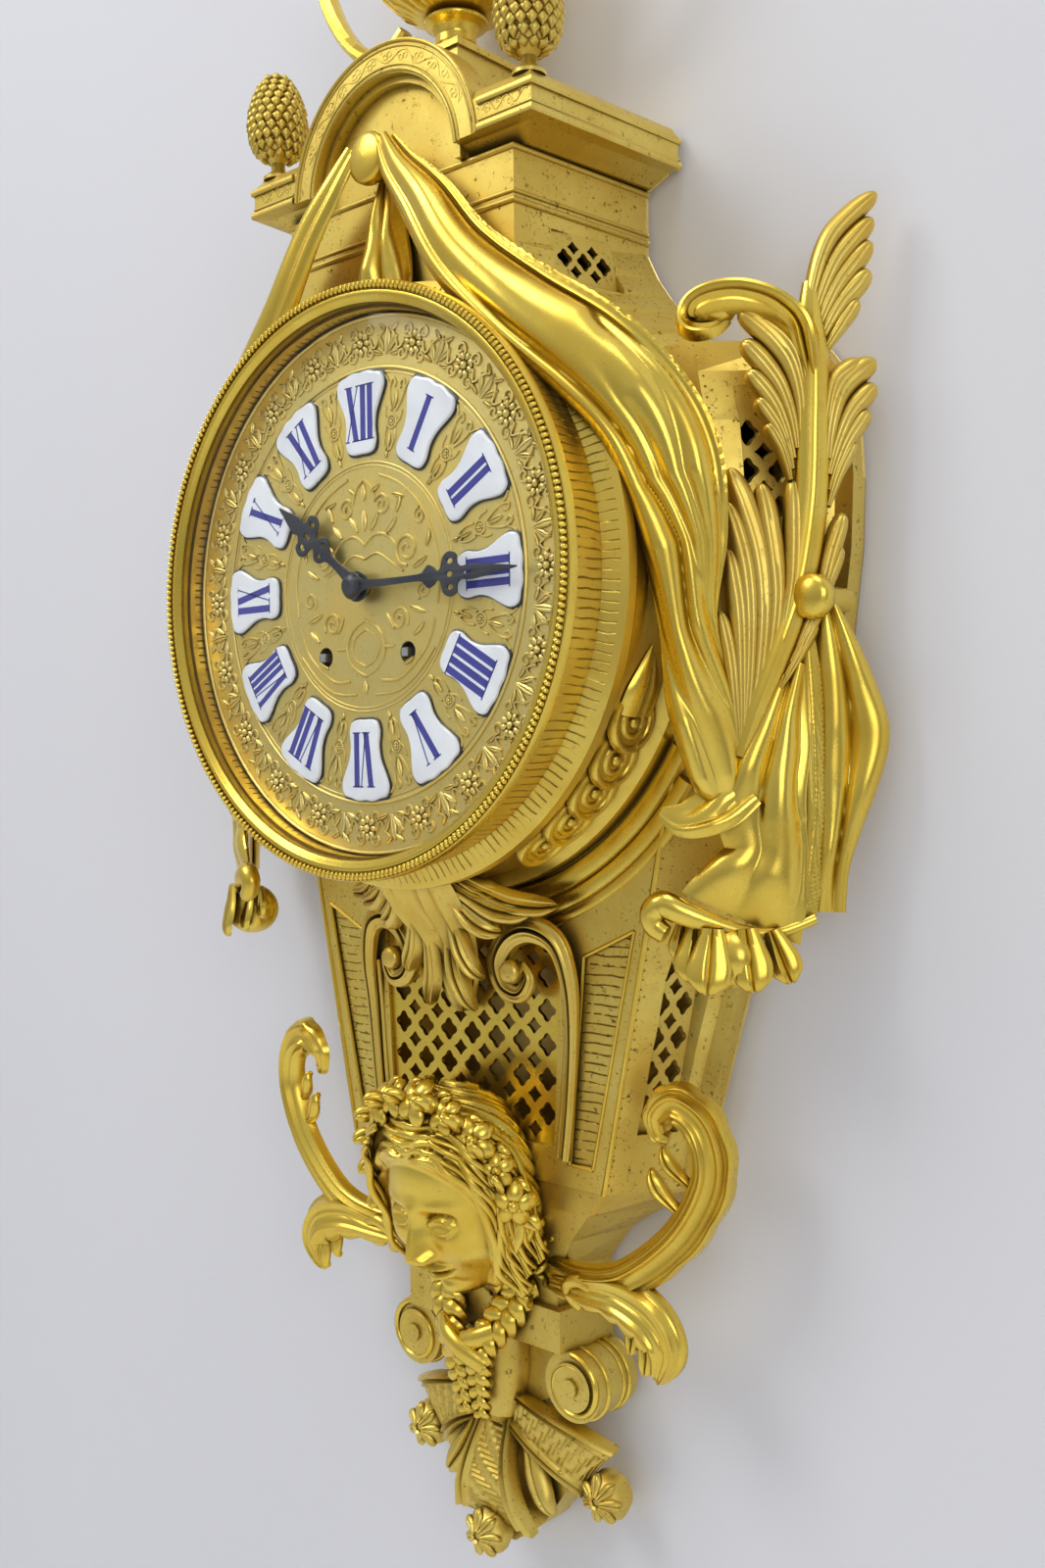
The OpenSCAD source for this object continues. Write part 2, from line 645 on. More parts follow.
module toothed_wheel(at, teeth, size, from_depth, t, phase, hub) {
  rim = size * teeth / 2 - size * 2.2 - 1;
  teeth_loop = tooth_points(teeth, size, wheel_form, phase);
  n = len(teeth_loop);
  points = concat(teeth_loop, [for (i = [0:wheel_arms - 1]) each window_points(hub, rim, wheel_arms, i)]);
  paths = concat([[for (i = [0:n - 1]) i]], [for (k = [0:wheel_arms - 1]) [for (i = [0:7]) n + 8 * k + i]]);
  slab(from_depth, from_depth + t) translate(at) polygon(points, paths);
}

module leaves(at, count, size, from_depth, to_depth, phase) {
  slab(from_depth, to_depth) translate(at) polygon(tooth_points(count, size, leaf_form, phase));
}

function leaf_phase(wheel_at, leaf_at, count) = bearing(wheel_at, leaf_at) + 180 + 180 / count;

// Arbor between the plates with a pivot in each.
module arbor(at, r = arbor_r) {
  rod(at, r, rear_in + 0.3, front_in - 0.3);
  rod(at, pivot_r, rear_face, front_face);
}

pivots = [second_at, third_at, escape_at, strike_second_at, pin_at, fly_at, hammer_at, pallet_at];
barrel_pivot_r = 2.2;

module plate(from_depth) {
  difference() {
    rod(centre_at, plate_r, from_depth, from_depth + plate_t);
    for (at = pivots) rod(at, pivot_r + run_fit, from_depth - 1, from_depth + plate_t + 1);
    for (at = [going_at, strike_at]) rod(at, barrel_pivot_r + run_fit, from_depth - 1,
      from_depth + plate_t + 1);
    rod(centre_at, arbor_r + run_fit, from_depth - 1, from_depth + plate_t + 1);
    for (a = pillar_angles)
      rod(pillar_ring_r * [cos(a), sin(a)], pillar_end_r + run_fit, from_depth - 1, from_depth + plate_t + 1);
    children();
  }
}

pillar_r = 3.2;
pillar_end_r = 1.8;
click_stud = [11, 4];
click_stud_r = 1;
minute_stud_r = 1;
strap_hole_r = 1.5;
strap_x = plate_r - 7;

module front_plate() {
  color(brass) placed() {
    plate(front_in) for (side = [-1, 1]) rod([side * strap_x, 0], strap_hole_r, front_in - 1, front_face + 1);
    rod(minute_at, minute_stud_r, front_face, hour_depth + 2.2);
    for (at = [going_at, strike_at]) rod(at + click_stud, click_stud_r, front_face, front_face + 3.2);
  }
}

module rear_plate() {
  color(brass) placed() plate(rear_face);
}

module pillars() {
  color(brass) placed() for (a = pillar_angles) {
    rod(pillar_ring_r * [cos(a), sin(a)], pillar_r, rear_in, front_in);
    rod(pillar_ring_r * [cos(a), sin(a)], pillar_end_r, rear_face - 2.5, front_face);
  }
}

module pillar_nuts() {
  color(steel) placed() for (a = pillar_angles) difference() {
    translate([pillar_ring_r * cos(a), -rear_face, pillar_ring_r * sin(a)]) rotate([-90, 0, 0])
      cylinder(r = 3.4, h = 2.5, $fn = 6);
    rod(pillar_ring_r * [cos(a), sin(a)], pillar_end_r + run_fit, rear_face - 3, rear_face + 1);
  }
}

// Bars from the drum's ledge to the front plate, with their screws.
strap_w = 14;

module movement_straps() {
  color(brass) placed() for (side = [-1, 1]) {
    slab(front_face, ledge_back) translate([side > 0 ? plate_r - 14 : -drum_in + 1.5, -strap_w / 2])
      square([drum_in - plate_r + 12.5, strap_w]);
    rod([side * strap_x, 0], strap_hole_r - run_fit, front_in, ledge_back);
    rod([side * strap_x, 0], 3, ledge_back, ledge_back + 1.6);
  }
}

module barrel(at, mesh_at) {
  toothed_phase = bearing(at, mesh_at);
  difference() {
    union() {
      rod(at, barrel_r, great_depth + 2, barrel_front);
      slab(great_depth, great_depth + 2.4) translate(at)
        polygon(tooth_points(great_teeth, great_module, wheel_form, toothed_phase));
    }
    rod(at, barrel_arbor_r + run_fit, 0, dial_depth);
  }
}

barrel_arbor_r = 2.8;
ratchet_r = 8;
ratchet_teeth = 16;
ratchet_t = 1.6;
square_end = dial_depth + 2;

// Arbor that the key turns: barrel core, pivots, ratchet and square.
module winding_arbor(at) {
  rod(at, barrel_arbor_r, rear_in + 0.3, front_in - 0.3);
  rod(at, barrel_pivot_r, rear_face, cannon_depth);
  slab(cannon_depth, cannon_depth + ratchet_t) translate(at)
    polygon([for (i = [0:ratchet_teeth - 1], c = [0, 0.12])
    let (a = 360 / ratchet_teeth * (i + c), r = c > 0 ? ratchet_r - 1.4 : ratchet_r) r * [cos(a), sin(a)]]);
  half = winding_square / 2;
  slab(cannon_depth, square_end) translate(at - [half, half]) square(winding_square);
}

// Click on its stud, with its nose just clear of the ratchet.
module click(at) {
  stud = at + click_stud;
  nose = at + (ratchet_r + 0.5) * [cos(75), sin(75)];
  color(steel) placed() slab(cannon_depth, cannon_depth + ratchet_t) difference() {
    union() {
      translate(stud) circle(r = 2);
      polygon([stud + [-0.5, 1.9], nose + [1.2, 2.2], nose + [-0.6, 0.4], nose + [0.4, 0],
        stud + [-1.9, 0.6]]);
    }
    translate(stud) circle(r = click_stud_r + run_fit);
  }
}

module going_barrel() {
  color(brass) placed() barrel(going_at, second_at);
}

module strike_barrel() {
  color(brass) placed() barrel(strike_at, strike_second_at);
}

module going_arbor() {
  color(steel) placed() winding_arbor(going_at);
}

module strike_arbor() {
  color(steel) placed() winding_arbor(strike_at);
}

module going_click() {
  click(going_at);
}

module strike_click() {
  click(strike_at);
}

module second_wheel() {
  color(brass) placed() {
    arbor(second_at);
    toothed_wheel(second_at, second_teeth, second_module, second_depth, wheel_t,
      bearing(second_at, centre_at), 4.5);
    leaves(second_at, low_leaves, great_module, great_depth - 0.6, great_depth + 3,
      leaf_phase(going_at, second_at, low_leaves));
  }
}

module centre_wheel() {
  color(brass) placed() {
    rod(centre_at, arbor_r, rear_face, minute_hand_depth + hand_t + 1.5);
    rod(centre_at, 1.8, rear_in + 0.3, front_in - 0.3);
    toothed_wheel(centre_at, centre_teeth, centre_module, centre_depth, wheel_t,
      bearing(centre_at, third_at), 4.5);
    leaves(centre_at, low_leaves, second_module, second_depth - 0.6, second_depth + wheel_t + 0.6,
      leaf_phase(second_at, centre_at, low_leaves));
  }
}

module third_wheel() {
  color(brass) placed() {
    arbor(third_at, 1);
    toothed_wheel(third_at, third_teeth, third_module, third_depth, wheel_t, bearing(third_at, escape_at), 4);
    leaves(third_at, high_leaves, centre_module, centre_depth - 0.6, centre_depth + wheel_t + 0.6,
      leaf_phase(centre_at, third_at, high_leaves));
  }
}

module escape_wheel() {
  rim = escape_r - 3.4;
  points = concat([for (i = [0:escape_teeth - 1], c = [[0, 0], [0.25, 1.6], [0.85, 1.6]])
      let (a = 360 / escape_teeth * (i + c[0]), r = escape_r - c[1]) r * [cos(a), sin(a)]],
    [for (i = [0:wheel_arms - 1]) each window_points(3, rim, wheel_arms, i)]);
  n = 3 * escape_teeth;
  paths = concat([[for (i = [0:n - 1]) i]], [for (k = [0:wheel_arms - 1]) [for (i = [0:7]) n + 8 * k + i]]);
  color(brass) placed() {
    arbor(escape_at, 0.9);
    slab(escape_depth, escape_depth + wheel_t) translate(escape_at) polygon(points, paths);
    leaves(escape_at, high_leaves, third_module, third_depth - 0.6, third_depth + wheel_t + 0.6,
      leaf_phase(third_at, escape_at, high_leaves));
  }
}

// Pallet tips stand this far off the escape wheel's tip circle, which leaves room for the swing.
pallet_clear = 1.1;
crutch_l = 32;
crutch_depth = rear_face - 6;
rod_r = 1.6;
fork_r = 0.8;
anchor_right = [[2.6, 1.5], [8, -4], [11.6, -8.5], [10.6, -10.5],
  [(escape_r + pallet_clear) * sin(49.5), escape_z - pallet_z + (escape_r + pallet_clear) * cos(49.5)],
  [6.2, -5], [0, -2.6]];

module anchor() {
  color(steel) placed() {
    rod(pallet_at, arbor_r, rear_in + 0.3, front_in - 0.3);
    rod(pallet_at, pivot_r, crutch_depth, front_face);
    slab(escape_depth, escape_depth + wheel_t) translate(pallet_at)
      polygon(concat(anchor_right, left_of([for (i = [0:5]) anchor_right[i]])));
    slab(crutch_depth, crutch_depth + 1.5) translate(pallet_at) {
      circle(r = 2.4);
      translate([-1.2, -crutch_l]) square([2.4, crutch_l]);
      translate([-4, -crutch_l - 2]) square([8, 2.6]);
    }
    for (side = [-1, 1])
      rod(pallet_at + [side * (rod_r + fork_r + 0.15), -crutch_l], fork_r, pendulum_depth - 3,
        crutch_depth + 0.5);
  }
}

cock_w = 14;

module suspension_cock() {
  color(brass) placed() translate([-cock_w / 2, -rear_face, pallet_z + 2.8])
    cube([cock_w, rear_face - pendulum_depth + 6, 7]);
}

spring_l = 12;
spring_t = 0.6;
bob_t = 6;

module pendulum() {
  bob_z = pallet_z - pendulum_l;
  color(brass) placed() {
    translate([-spring_t / 2, -pendulum_depth - 3, pallet_z - spring_l]) cube([spring_t, 6, spring_l + 2.4]);
    translate([0, -pendulum_depth, bob_z]) cylinder(r = rod_r, h = pendulum_l - spring_l + 3);
    turned([0, bob_z], [[0, pendulum_depth - bob_t], [bob_r * 0.55, pendulum_depth - bob_t * 0.75],
      [bob_r, pendulum_depth - 0.8], [bob_r, pendulum_depth + 0.8],
      [bob_r * 0.55, pendulum_depth + bob_t * 0.75], [0, pendulum_depth + bob_t]]);
    translate([0, -pendulum_depth, bob_z - bob_r - 7]) cylinder(r = 1.2, h = 10);
    translate([0, -pendulum_depth, bob_z - bob_r - 5]) cylinder(r = 4, h = 3);
  }
}

module cannon_pinion() {
  color(steel) placed() difference() {
    union() {
      leaves(centre_at, cannon_leaves, motion_module, cannon_depth - 0.3, cannon_depth + 1.9,
        leaf_phase(minute_at, centre_at, cannon_leaves));
      rod(centre_at, cannon_pipe_r, cannon_depth, minute_hand_depth + hand_t);
    }
    rod(centre_at, arbor_r + run_fit, front_face - 1, square_end + 20);
  }
}

module minute_wheel() {
  color(brass) placed() difference() {
    union() {
      slab(cannon_depth, cannon_depth + wheel_t) translate(minute_at)
        polygon(tooth_points(minute_teeth, motion_module, wheel_form, bearing(minute_at, centre_at)));
      leaves(minute_at, minute_leaves, hour_module, cannon_depth + wheel_t - 0.1, hour_depth + 2,
        leaf_phase(centre_at, minute_at, minute_leaves));
    }
    rod(minute_at, minute_stud_r + run_fit, front_face - 5, dial_depth);
  }
}

module hour_wheel() {
  color(brass) placed() difference() {
    union() {
      slab(hour_depth, hour_depth + wheel_t) polygon(tooth_points(hour_teeth, hour_module, wheel_form,
        bearing(centre_at, minute_at)));
      rod(centre_at, hour_pipe_r, hour_depth, hour_hand_depth + hand_t);
    }
    rod(centre_at, cannon_pipe_r + run_fit, front_face, dial_depth + 20);
  }
}

count_r = 15;
count_depth = rear_face - 2.2;

module strike_second_wheel() {
  color(brass) placed() {
    arbor(strike_second_at);
    toothed_wheel(strike_second_at, second_teeth, second_module, second_depth, wheel_t,
      bearing(strike_second_at, pin_at), 4.5);
    leaves(strike_second_at, low_leaves, great_module, great_depth - 0.6, great_depth + 3,
      leaf_phase(strike_at, strike_second_at, low_leaves));
    rod(strike_second_at, pivot_r, count_depth - 1, rear_face + 1);
    slab(count_depth, count_depth + wheel_t) translate(strike_second_at) difference() {
      circle(r = count_r);
      for (hours = [1:12]) let (a = 360 / 90 * (hours * (hours + 1) / 2 + hours)) rotate(a)
        translate([count_r - 2, -0.7]) square([4, 1.4]);
    }
  }
}

lift_pin_ring_r = 11;
lift_pin_r = 0.6;
lift_pins = 8;

module pin_wheel() {
  color(brass) placed() {
    arbor(pin_at);
    toothed_wheel(pin_at, pin_teeth, pin_module, pin_depth, wheel_t, bearing(pin_at, fly_at), 3.5);
    leaves(pin_at, low_leaves, second_module, second_depth - 0.6, second_depth + wheel_t + 0.6,
      leaf_phase(strike_second_at, pin_at, low_leaves));
    for (i = [0:lift_pins - 1])
      rod(pin_at + lift_pin_ring_r * [cos(360 / lift_pins * i), sin(360 / lift_pins * i)], lift_pin_r,
        pin_depth, pin_depth + 4);
    slab(pin_depth, pin_depth + wheel_t) translate(pin_at) difference() {
      circle(r = lift_pin_ring_r + 1.2);
      circle(r = lift_pin_ring_r - 1.2);
    }
  }
}

vane_r = 10.5;

module fly() {
  color(steel) placed() {
    arbor(fly_at, 0.9);
    leaves(fly_at, high_leaves, pin_module, pin_depth - 0.6, pin_depth + wheel_t + 0.6,
      leaf_phase(pin_at, fly_at, high_leaves));
    slab(pin_depth + 6, third_depth + 3) translate(fly_at - [vane_r, 0.5]) square([2 * vane_r, 1]);
  }
}

head_r = 3.5;
bell_mouth = rear_face - 8;
bell_h = 22;
head_gap = 0.8;
head_reach = bell_r + head_r + head_gap;
// The head lies where a line from its arbor is tangent to the bell, so that it strikes squarely.
hammer_l = sqrt(pow(norm(bell_at - hammer_at), 2) - head_reach * head_reach);
hammer_angle = bearing(hammer_at, bell_at) - asin(head_reach / norm(bell_at - hammer_at));
head_at = hammer_at + hammer_l * [cos(hammer_angle), sin(hammer_angle)];
hammer_depth = rear_face - 5;
tail_l = norm(pin_at - hammer_at) - lift_pin_ring_r - lift_pin_r - 0.8;

module hammer() {
  color(steel) placed() {
    arbor(hammer_at);
    rod(hammer_at, pivot_r, hammer_depth, rear_face + 1);
    slab(hammer_depth, hammer_depth + 1.5) translate(hammer_at) {
      circle(r = 2.2);
      rotate(hammer_angle) translate([0, -1]) square([hammer_l, 2]);
    }
    rod(head_at, head_r, bell_mouth - 4, hammer_depth + 1.5);
    slab(pin_depth + wheel_t + 0.8, pin_depth + 4) translate(hammer_at) {
      circle(r = 2.2);
      rotate(bearing(hammer_at, pin_at)) translate([0, -0.9]) square([tail_l, 1.8]);
    }
  }
}

bell_t = 1.6;
post_r = 2.4;

// Bell on its post: an open cup with its mouth towards the rear plate.
module bell() {
  inner = bell_r - bell_t;
  color(brass) placed() {
    turned(bell_at, [[bell_r, bell_mouth], [bell_r - 1, bell_mouth - 6], [bell_r - 5, bell_mouth - 14],
      [bell_r - 12, bell_mouth - 20], [0, bell_mouth - bell_h], [0, bell_mouth - bell_h + bell_t],
      [inner - 11.6, bell_mouth - 18.6], [inner - 4.6, bell_mouth - 13], [inner - 1, bell_mouth - 5.4],
      [inner, bell_mouth]]);
    rod(bell_at, post_r, bell_mouth - bell_h - 3, rear_face);
    rod(bell_at, post_r + 2, bell_mouth - bell_h - 3, bell_mouth - bell_h + 0.4);
  }
}

coin_r = 10;
coin_edge = 1;
coin_rise = 3.2;
coin_steps = 4;
coin_from = 300;
coin_pitch = 9.2;
band_depth = 67;

// Strip with a row of discs on the drum's lower flank.
module coin_strip() {
  base = ring_r - 2 + seat;
  rotate([0, -coin_from, 0]) rotate([90, 0, 0]) rotate_extrude(angle = coin_pitch * coin_steps, $fn = 480)
    translate([base, band_depth - coin_r - coin_edge]) square([1.2, 2 * (coin_r + coin_edge)]);
  for (i = [0:coin_steps]) rotate([0, -coin_from - coin_pitch * i, 0])
    translate([base + 0.4, -band_depth, 0]) rotate([0, 90, 0]) cylinder(r = coin_r, h = 2);
}

// Room round the strips for the cloth that lies over them.
module coin_room() {
  half = coin_r + coin_edge + seat;
  rod(centre_at, ring_r - 2 + seat + coin_rise, band_depth - half, band_depth + half);
}

module coin_bands() {
  color(gilt) placed() {
    coin_strip();
    mirrored() coin_strip();
  }
}

module dial_clasp() {
  color(gilt) placed() difference() {
    union() {
      ribbon([[0, -78, -126, 24, 6], [0, -66, -138, 23, 8], [0, -54, -154, 19, 9], [0, -46, -174, 12, 8],
        [0, -43, -188, 3, 4]], [0, -1, -0.3], leaf_section, 3);
      for (side = [-1, 1]) {
        slab(body_depth - 1, body_depth + 7) polygon([[side * 4, -172], [side * 4, -130], [side * 48, -124],
          [side * 54, -146], [side * 50, -163], [side * 32, -163], [side * 25, -154], [side * 14, -161]]);
        rod([side * 41, -163], 9.5, body_depth - 1, body_depth + 9);
      }
    }
    body_form(0);
    drum_form(seat);
  }
}

mesh_pitch = 11;
// Quatrefoil and diamond piercings of a lattice.
foil = [for (i = [0:7]) (i % 2 == 0 ? 4.3 : 2.5) * [cos(45 * i), sin(45 * i)]];
stud_hole = [for (i = [0:3]) 1.5 * [cos(90 * i), sin(90 * i)]];
function lattice(centres, shape) = [for (c = centres, p = shape) c + p];
function lattice_paths(start, count, n) = [for (k = [0:count - 1]) [for (i = [0:n - 1]) start + k * n + i]];

module lattice_plate(outline, foil_centres, diamond_centres) {
  n = len(outline);
  a = len(foil_centres);
  points = concat(outline, lattice(foil_centres, foil), lattice(diamond_centres, stud_hole));
  polygon(points, concat([[for (i = [0:n - 1]) i]], lattice_paths(n, a, 8),
    lattice_paths(n + 8 * a, len(diamond_centres), 4)));
}

// Half width of the grille's open field at a height.
function grille_half(z) =
  lookup(z, [[grille_foot[1], grille_foot[0]], [grille_top[1], grille_top[0]]]);

module front_grille() {
  z0 = grille_foot[1];
  z1 = grille_top[1];
  rows = floor((z1 - z0) / mesh_pitch);
  foils = [for (j = [0:rows], i = [-6:6])
    let (c = [i * mesh_pitch, z0 + mesh_pitch * (j + 0.5)])
      if (abs(c[0]) + 6 < grille_half(c[1]) && c[1] + 6 < z1) c];
  diamonds = [for (j = [1:rows], i = [-6:5])
    let (c = [(i + 0.5) * mesh_pitch, z0 + mesh_pitch * j])
      if (abs(c[0]) + 5 < grille_half(c[1]) && c[1] + 4 < z1) c];
  color(gilt) placed() slab(body_depth - wall_t, body_depth - wall_t + grille_t)
    lattice_plate([[-grille_top[0], z1], grille_top, grille_foot, [-grille_foot[0], z0]], foils, diamonds);
}

// Fret in a window of the flank: a lattice through a slab that follows the flank's slant and lean.
module fret(w, x, slant, lean) {
  y0 = -w[1] + seat;
  y1 = -w[0] - seat;
  z0 = w[2] + seat;
  z1 = w[3] - seat;
  columns = floor((y1 - y0 - 2) / mesh_pitch);
  rows = floor((z1 - z0 - 2) / mesh_pitch);
  ym = (y0 + y1) / 2;
  zm = (z0 + z1) / 2;
  foils = [for (i = [0:columns - 1], j = [0:rows - 1])
    [ym + mesh_pitch * (i - (columns - 1) / 2), zm + mesh_pitch * (j - (rows - 1) / 2)]];
  intersection() {
    translate([x - 40, 0, 0]) rotate([90, 0, 90]) linear_extrude(80)
      lattice_plate([[y0, z0], [y1, z0], [y1, z1], [y0, z1]], foils, []);
    translate([x, ym, zm]) rotate([0, lean, 0]) rotate([0, 0, -slant]) translate([-fret_t / 2, -60, -80])
      cube([fret_t, 120, 160]);
  }
}

module side_frets() {
  color(gilt) placed() for (side = [0, 1]) mirror([side, 0, 0]) difference() {
    union() {
      fret(apron_window, 99.5, 32, 12);
      fret(flank_window, 150, 46, 0);
      fret(neck_window, 74.5, 10, -9);
    }
    drum_form(seat);
  }
}

peg_z = 184;
peg_r = 11;
peg_stem_r = 7;
peg_depth = 101;
side_peg_at = [175, -13];
side_peg_r = 8;

module drop(out = 0) {
  y = -neck_depth - 1;
  ribbon([[0, y, 180, 6 + out, 6 + out], [0, y, 158, 10 + out, 9 + out], [0, y, 138, 13 + out, 10 + out]],
    [0, -1, 0], cloth_section, 3, cloth_heart);
}

// Room left round a side peg by the ornaments next to it.
module side_peg_room() {
  rod(side_peg_at, side_peg_r + 0.3, 0, rim_depth + 26);
}

// Knobs that the cloth hangs from, the middle one cast with the short fall under it.
module drape_pegs() {
  color(gilt) placed() {
    difference() {
      union() {
        rod([0, peg_z], peg_stem_r, neck_depth, peg_depth - 6);
        turned([0, peg_z], [[0, peg_depth - 7], [peg_r - 1.5, peg_depth - 7], [peg_r, peg_depth - 5],
          [peg_r, peg_depth - 2], [peg_r - 2, peg_depth], [0, peg_depth]]);
        drop();
      }
      translate([-peg_r * 2, -neck_depth, neck_top_z - 60]) cube([peg_r * 4, neck_depth, 100]);
      drum_form(seat);
    }
    for (side = [0, 1]) mirror([side, 0, 0]) difference() {
      turned(side_peg_at, [[0, rim_depth], [5, rim_depth], [5, rim_depth + 14], [side_peg_r, rim_depth + 16],
        [side_peg_r, rim_depth + 21], [5, rim_depth + 24], [0, rim_depth + 24]]);
      body_form();
    }
  }
}

// Swag from the middle peg over the drum and down its side.
module swag() {
  difference() {
    ribbon([[14, -97, 183, 8, 8], [34, -98, 162, 14, 10], [62, -97, 137, 20, 12], [95, -90, 104, 24, 13],
      [121, -80, 66, 25, 13], [131, -74, 20, 22, 13], [134, -70, -30, 21, 13], [138, -64, -66, 17, 12],
      [141, -58, -92, 8, 9]], [0.45, -0.85, 0.25], cloth_section, 3, cloth_heart);
    drum_form(seat);
    neck_form(seat);
    body_form(seat);
    drop(1.5);
    coin_room();
    rod([0, peg_z], peg_r + seat, neck_depth - 20, peg_depth + 20);
    translate([-50, -150, 0]) cube([50.2, 150, 250]);
  }
}

module drape_right() {
  color(gilt) placed() swag();
}

module drape_left() {
  color(gilt) placed() mirrored() swag();
}

// Tall acanthus leaf, grown where other pieces have to clear it.
module tall_leaf(grow = 0) {
  stops = [[148, -44, -74, 6, 7], [158, -40, -46, 13, 9], [164, -37, -8, 17, 10], [169, -34, 30, 23, 11],
    [173, -34, 66, 22, 10], [178, -33, 98, 16, 8], [188, -32, 122, 9, 6], [197, -30, 138, 3, 3]];
  ribbon([for (s = stops) s + [0, 0, 0, grow, grow]], [0.72, -0.69, 0], leaf_section, 3);
}

leaf_gap = 0.6;
husk_r = 12;

// Cloth that hangs from the side peg, with a husk boss under its rolled edge.
module fall() {
  difference() {
    union() {
      ribbon([[178, -32, -20, 7, 6], [182, -31, -46, 16, 9], [180, -30, -76, 20, 11],
        [172, -32, -106, 22, 11], [158, -36, -134, 22, 10], [150, -38, -148, 18, 7]], [0.7, -0.72, 0],
        cloth_section, 3, cloth_heart);
      ribbon([[146, -40, -138, 5, 5], [146, -40, -146, husk_r - 1, husk_r - 1],
        [145, -40, -156, husk_r, husk_r], [144, -40, -166, 5, 5]], [0.1, -1, 0], round_section, 2);
    }
    body_form(seat);
    side_peg_room();
    tall_leaf(leaf_gap);
  }
}

module fall_right() {
  color(gilt) placed() fall();
}

module fall_left() {
  color(gilt) placed() mirrored() fall();
}

// Acanthus spray on the flank: a tall leaf and a branch that curls over towards the drum.
module acanthus() {
  difference() {
    union() {
      tall_leaf();
      ribbon([[174, -38, 76, 8, 7], [170, -41, 100, 10, 8], [158, -44, 115, 10, 8], [143, -46, 117, 9, 7],
        [133, -46, 108, 7, 6], [135, -46, 99, 5, 5], [142, -46, 98, 3, 4]], [0.3, -0.9, 0.3], leaf_section,
        3);
    }
    body_form(seat);
    side_peg_room();
  }
}

module acanthus_right() {
  color(gilt) placed() acanthus();
}

module acanthus_left() {
  color(gilt) placed() mirrored() acanthus();
}

foot_levels = [[-341, 48, 52, 36], [-322, 48, 52, 36], [-321, 44, 48, 33], [-304, 47, 52, 34],
  [-288, 56, 64, 37], [-274, 68, 84, 40], [-262, 77, 103, 41]];

// Tapering foot of the case down to the scroll block: outer form for out of 0 or more, hollow below 0.
module foot_form(out = 0) {
  hollow = out < 0;
  rings = [for (level = foot_levels)
    let (f = level[1] + out, b = level[2] + out, d = level[3] + out)
    let (z = hollow ? max(level[0], foot_levels[0][0] + wall_t) : level[0], y = hollow ? 1 : -back_t)
    [[-f, -d, z], [f, -d, z], [b, y, z], [-b, y, z]]];
  loft(rings, middle(rings[0]), middle(rings[len(rings) - 1]) + [0, 0, hollow ? 1 : 0]);
}

volute_at = [50, -357];
volute_r = 16;
volute_front = 30;

cup_foot_z = -387;
cup_depth = 21;
cup_r = 17.5;
cup_h = 46.5;
cup_side = [[9, 0], [12, 4], [15, 14], [cup_r, 26]];
block_front = 22;
block_right = [[14, -380], [36, -366], [38, -340]];

// Cup that the braids run into, or the room round it for a gap above 0.
module cup(gap = 0) {
  top = cup_h + 2 * gap;
  translate([0, -cup_depth, cup_foot_z - gap]) rotate_extrude()
    polygon([[0, 0], each [for (p = cup_side) [p[0] + gap, p[1]]], [cup_r + gap, top], [0, top]]);
}

// Block between the volutes, or the room round it for a gap above 0.
module volute_block(gap = 0) {
  slab(back_t - gap, block_front + gap) offset(delta = gap) polygon(concat(block_right, left_of(block_right)));
}

module console() {
  color(gilt) placed() {
    difference() {
      foot_form();
      foot_form(-wall_t);
    }
    for (side = [-1, 1]) {
      rod([side * volute_at[0], volute_at[1]], volute_r, back_t, volute_front);
      rod([side * volute_at[0], volute_at[1]], volute_r - 5, volute_front - 1, volute_front + 1.5);
      rod([side * volute_at[0], volute_at[1]], 4, volute_front, volute_front + 3);
    }
    cup();
    volute_block();
  }
}

module scroll_leaf() {
  difference() {
    union() {
      ribbon([[46, -33, -303, 6, 6], [66, -37, -302, 7, 7], [90, -37, -293, 10, 8], [117, -35, -270, 12, 9],
        [131, -34, -245, 12, 9], [128, -34, -224, 10, 8], [116, -34, -217, 8, 7], [108, -34, -225, 5, 5],
        [112, -34, -234, 3, 4]], [0.35, -0.93, 0], leaf_section, 3);
      ribbon([[46, -33, -308, 6, 6], [66, -37, -306, 7, 6], [86, -38, -304, 10, 7], [104, -38, -310, 10, 7],
        [112, -38, -322, 8, 6], [107, -38, -331, 3, 4]], [0.2, -0.97, 0.1], leaf_section, 3);
    }
    body_form(seat);
    foot_form(seat);
  }
}

module scroll_leaf_right() {
  color(gilt) placed() scroll_leaf();
}

module scroll_leaf_left() {
  color(gilt) placed() mirrored() scroll_leaf();
}

mask_at = [0, -50, -268];
// Head leans forward by this angle
mask_tilt = 24;
function nod(q) = [q[0], q[1] * cos(mask_tilt) - q[2] * sin(mask_tilt),
  q[1] * sin(mask_tilt) + q[2] * cos(mask_tilt)];
mask_hollow_at = mask_at + [0, 4, 0];
// Head as a swollen ball: brow, nose and chin in front, waves of hair round the sides and crown.
function bump(a, b, wide, tall) = exp(-(a * a) / (wide * wide) - (b * b) / (tall * tall));
function mask_point(lon, lat) =
  let (hair = max(0, min(1, (abs(lon) - 52) / 18 + max(0, (lat - 28) / 14))),
    swell = 1 + 0.26 * hair + 0.05 * hair * sin(7 * lon + 40) + 0.3 * bump(lon, lat + 12, 11, 13)
      + 0.1 * bump(lon, lat + 52, 22, 14) + 0.07 * bump(lon, lat + 28, 16, 6)
      - 0.07 * (bump(lon - 22, lat - 4, 11, 8) + bump(lon + 22, lat - 4, 11, 8)))
  mask_at + swell * nod([29 * sin(lon) * cos(lat), -23 * cos(lon) * cos(lat), 41 * sin(lat)]);

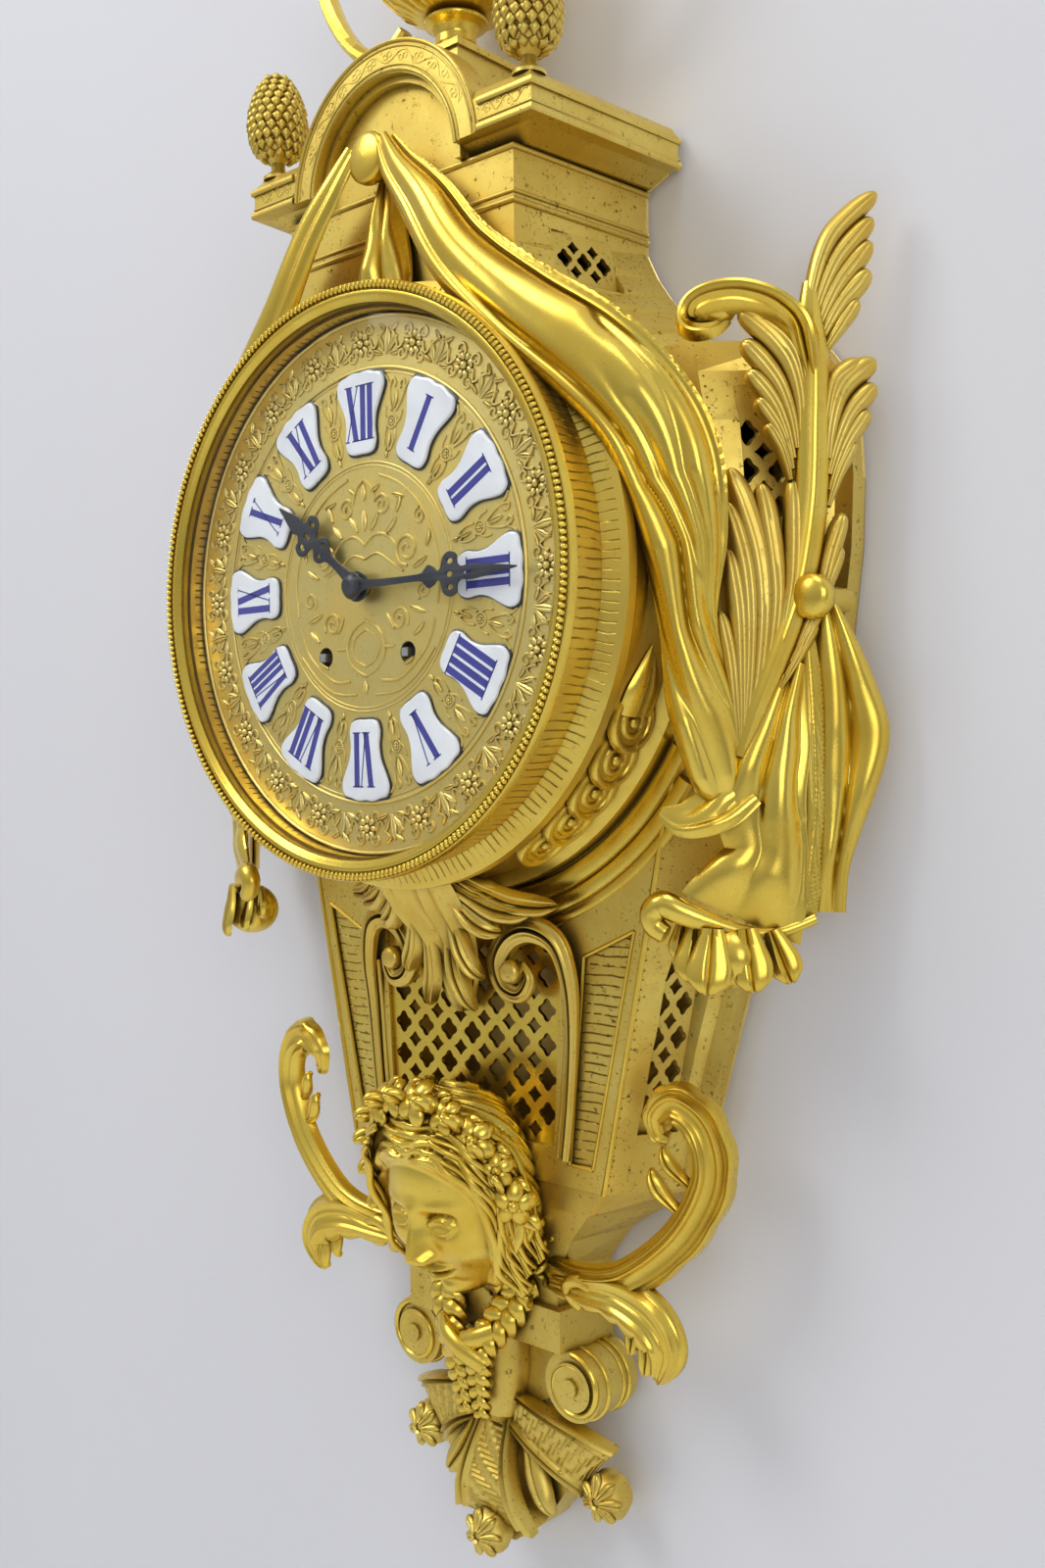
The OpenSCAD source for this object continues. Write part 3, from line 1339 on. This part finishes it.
module mask() {
  rings = [for (lat = [-80:10:80]) [for (j = [0:29]) mask_point(12 * j - 180, lat)]];
  color(gilt) placed() {
    difference() {
      loft(rings, mask_at - nod([0, 0, 42]), mask_at + nod([0, 0, 50]));
      loft([for (ring = rings) [for (q = ring)
        mask_hollow_at + 0.8 * (q - mask_at)]], mask_hollow_at - nod([0, 0, 33]),
        mask_hollow_at + nod([0, 0, 40]));
      body_form(seat);
      foot_form(seat);
    }
    difference() {
      for (side = [-1, 1]) ribbon([[side * 26, -46, -306, 8, 7], [side * 20, -46, -326, 8, 8],
        [side * 6, -42, -346, 7, 7], [side * 5, -42, -366, 6, 6], [side * 4.5, -42, -378, 3, 4]],
        [0, -1, 0], round_section, 3);
      foot_form(seat);
      cup(seat);
    }
  }
}

rosette_profile = [[0, 0], [7, 0], [10, 3.5], [11, 8], [10.5, 12.5], [8, 17.5], [4, 20.5], [0, 21]];

// Round rosette at the end of a strap leaf, its back at the point given.
module rosette(at) {
  translate(at) rotate([90, 0, 0]) rotate_extrude() polygon(rosette_profile);
}

tail_back = 22;
tail_right = [[18, -388], [42, -394], [38, -412], [24, -432], [4, -454]];

// Three strap leaves that spread from under the cup, flaring to fishtail ends, each with a rosette, and a
// tongue in each gap between them.
module tail_pendant() {
  color(gilt) placed() difference() {
    union() {
      ribbon([[0, -20, -384, 8, 9], [0, -27, -402, 13, 9], [0, -29, -418, 19, 8], [0, -25, -433, 24, 6]],
        [0, -1, 0], strap_section, 2);
      rosette([0, -19.5, -437]);
      for (side = [-1, 1]) {
        ribbon([[side * 8, -20, -381, 8, 9], [side * 24, -21, -385, 11, 9], [side * 40, -18, -393, 14, 8],
          [side * 53, -12, -402, 16, 6]], [0, -1, 0.01], strap_section, 2);
        rosette([side * 56, -3.5, -409]);
        ribbon([[side * 16, -20, -394, 5, 6], [side * 25, -21, -408, 6, 7], [side * 31, -20, -421, 3, 4]],
          [0, -1, 0.01], strap_section, 2);
      }
      slab(back_t, tail_back) polygon(concat(tail_right, left_of(tail_right)));
    }
    translate([-100, -back_t, -500]) cube([200, 60, 300]);
    cup(seat);
    volute_block(seat);
  }
}

back_plate();
case_body();
pediment();
urn_bowl();
urn_handles();
urn_lid();
pinecone_finials();
drum();
coin_bands();
dial_clasp();
front_grille();
side_frets();
drape_pegs();
drape_left();
drape_right();
fall_left();
fall_right();
acanthus_left();
acanthus_right();
scroll_leaf_left();
scroll_leaf_right();
mask();
console();
tail_pendant();
bezel();
bezel_glass();
bezel_hinge_pin();
dial_plate();
numeral_plaques();
hour_hand();
minute_hand();
hand_collet();
front_plate();
rear_plate();
pillars();
pillar_nuts();
movement_straps();
going_barrel();
going_arbor();
strike_barrel();
strike_arbor();
going_click();
strike_click();
second_wheel();
centre_wheel();
third_wheel();
escape_wheel();
anchor();
suspension_cock();
pendulum();
cannon_pinion();
minute_wheel();
hour_wheel();
strike_second_wheel();
pin_wheel();
fly();
hammer();
bell();
rear_door();
door_hinge_pin();
